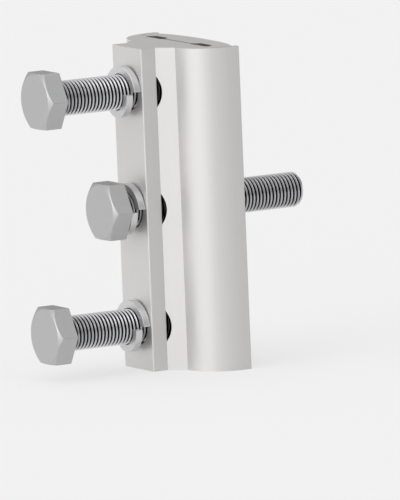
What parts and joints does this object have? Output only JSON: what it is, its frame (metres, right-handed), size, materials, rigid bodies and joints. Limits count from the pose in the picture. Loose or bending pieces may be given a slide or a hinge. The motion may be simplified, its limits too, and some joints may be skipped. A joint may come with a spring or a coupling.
{
  "type": "parallel connector",
  "caption": "Bolted parallel groove connector: an extruded aluminium channel and a keeper plate with serrated grooves, drawn together by hexagon bolts on spring washers.",
  "frame": {"origin": "bottom end face, in the plane of the bolts, where the bolt pad rises from the body", "axes": "+Z along the conductors, +X along the bolts from head to thread end, +Y across the two conductor grooves"},
  "size_m": [0.1009, 0.0562, 0.11],
  "materials": {
    "aluminium": "satin, as extruded",
    "steel": "satin"
  },
  "bodies": {
    "body": {"connector_body": "aluminium", "spring_washer_bottom": "steel", "spring_washer_middle": "steel", "spring_washer_top": "steel"},
    "keeper_plate": {"keeper": "aluminium"},
    "screw_bottom": {"bolt_bottom": "steel"},
    "screw_middle": {"bolt_middle": "steel"},
    "screw_top": {"bolt_top": "steel"}
  },
  "joints": [
    {"name": "keeper_opening", "type": "slide", "parent": "body", "child": "keeper_plate", "axis": [1, 0, 0], "range_m": [-0.0003, 0.018]},
    {"name": "bottom_bolt_out", "type": "slide", "parent": "body", "child": "screw_bottom", "axis": [-1, 0, 0], "range_m": [-0.0234, 0.02]},
    {"name": "middle_bolt_out", "type": "slide", "parent": "body", "child": "screw_middle", "axis": [-1, 0, 0], "range_m": [0, 0.0435]},
    {"name": "top_bolt_out", "type": "slide", "parent": "body", "child": "screw_top", "axis": [-1, 0, 0], "range_m": [-0.0234, 0.02]}
  ]
}
